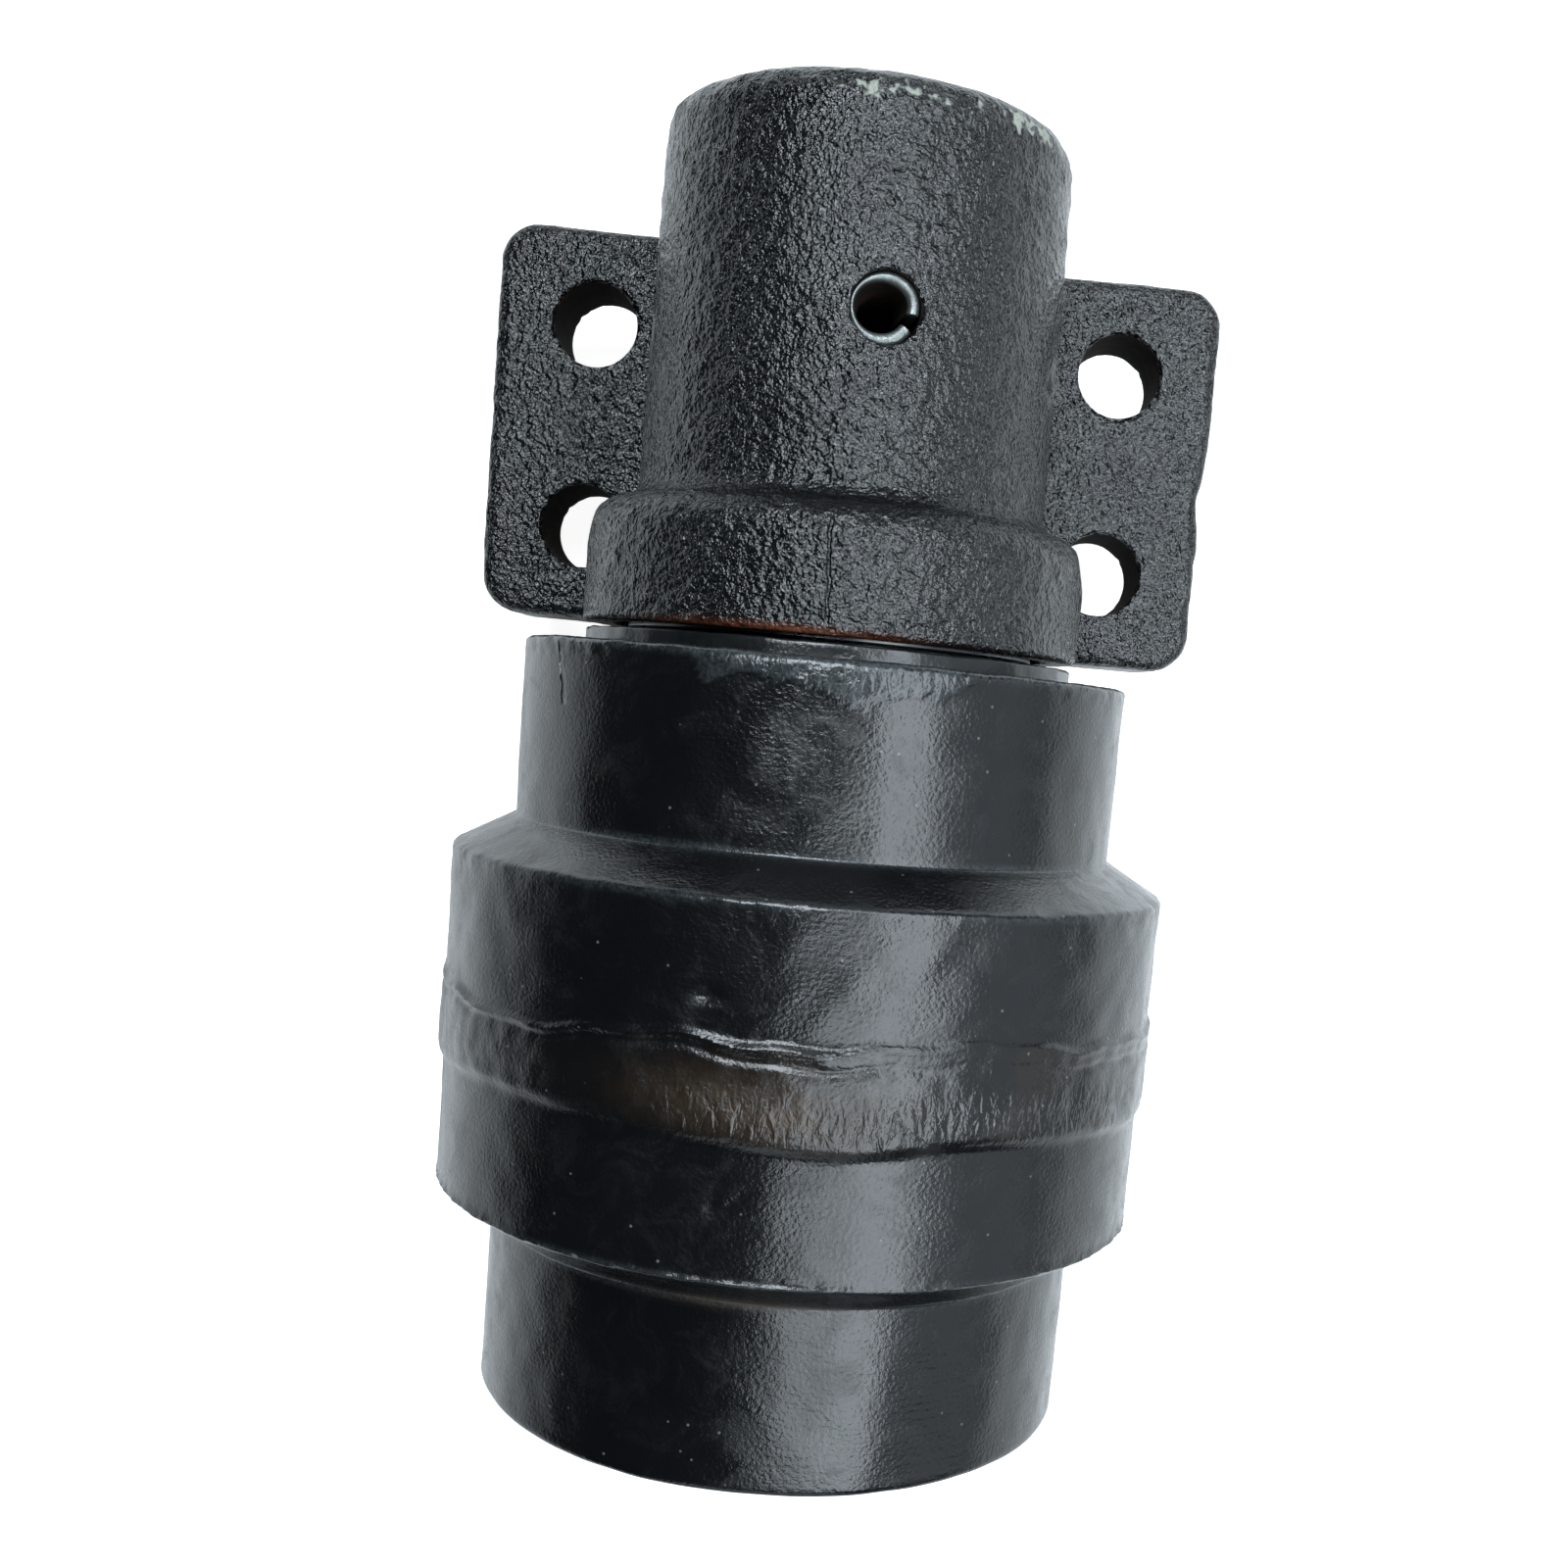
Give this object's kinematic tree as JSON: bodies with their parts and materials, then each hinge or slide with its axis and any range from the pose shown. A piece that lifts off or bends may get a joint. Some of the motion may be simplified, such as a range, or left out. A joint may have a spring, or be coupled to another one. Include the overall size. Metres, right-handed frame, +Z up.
{
  "type": "carrier roller",
  "caption": "Cantilevered crawler carrier roller: central-flange shell turning on a sealed shaft that is pinned into a cast four-bolt bracket.",
  "frame": {"origin": "centre of the four-bolt pattern on the bracket's flat underside", "axes": "+Y along the spin axis, from the bracket out to the roller; +Z up, out of the mounting face towards the shaft; +X along the machine's travel"},
  "size_m": [0.154, 0.253, 0.143],
  "materials": {
    "bracket_paint": "semi-gloss black enamel over sand-cast iron grain",
    "roller_paint": "semi-gloss black enamel over a forged and part-machined steel shell",
    "shaft_steel": "ground and hardened",
    "pin_steel": "spring steel under overspray",
    "seat_ring_steel": "turned steel, thin worn paint",
    "plain_steel": "machined",
    "fastener_steel": "phosphated",
    "plug_steel": "zinc plated",
    "seal_iron": "lapped face, cast body",
    "seal_rubber": "matte",
    "bushing_bronze": "sintered bronze on steel",
    "washer_copper": "soft copper"
  },
  "bodies": {
    "bracket_and_shaft": {"bracket": "bracket_paint", "shaft": "shaft_steel", "spring_pin": "pin_steel", "shaft_o_ring": "seal_rubber", "fixed_seal_ring": "seal_iron", "fixed_seal_toric": "seal_rubber", "thrust_plate": "plain_steel", "thrust_plate_bolts": "fastener_steel", "thrust_plate_lock_washers": "fastener_steel"},
    "roller": {"roller_shell": "roller_paint", "seal_seat_ring": "seat_ring_steel", "inner_bushing": "bushing_bronze", "outer_bushing": "bushing_bronze", "rotating_seal_ring": "seal_iron", "rotating_seal_toric": "seal_rubber", "end_cover": "roller_paint", "cover_o_ring": "seal_rubber", "cover_circlip": "fastener_steel", "filler_plug": "plug_steel", "plug_washer": "washer_copper"}
  },
  "joints": [
    {"name": "roller_spin", "type": "hinge", "parent": "bracket_and_shaft", "child": "roller", "pos_m": [0, 0.12, 0.05], "axis": [0, 1, 0], "continuous": true}
  ]
}
